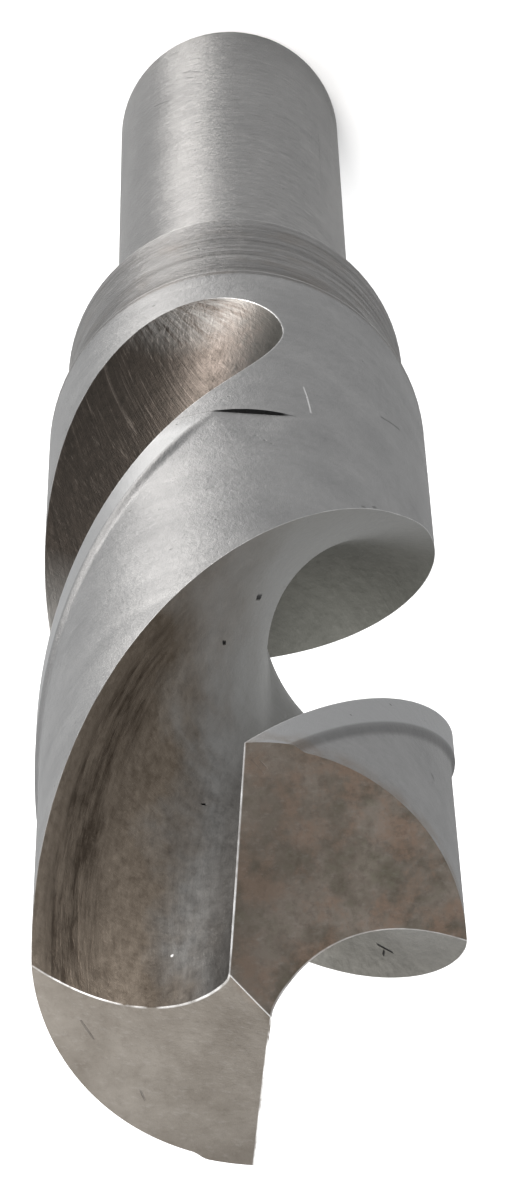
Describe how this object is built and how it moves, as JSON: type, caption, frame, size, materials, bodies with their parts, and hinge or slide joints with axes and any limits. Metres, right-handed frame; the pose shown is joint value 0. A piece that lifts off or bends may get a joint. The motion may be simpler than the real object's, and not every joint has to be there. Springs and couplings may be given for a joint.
{
  "type": "twist drill bit",
  "caption": "Reduced-shank twist drill with a straight round shank, a turned neck, right-hand spiral flutes, ground lands and a chisel point.",
  "frame": {"origin": "centre of the shank's flat end face, on the drill's axis", "axes": "+Z along the drill's axis from the shank end to the point; Y parallel to the two cutting lips"},
  "size_m": [0.0194, 0.0194, 0.1524],
  "materials": {
    "ground_steel": "ground and polished tool steel, heat-browned and stained in the flutes"
  },
  "bodies": {
    "root": {"twist_drill": "ground_steel"}
  },
  "joints": []
}
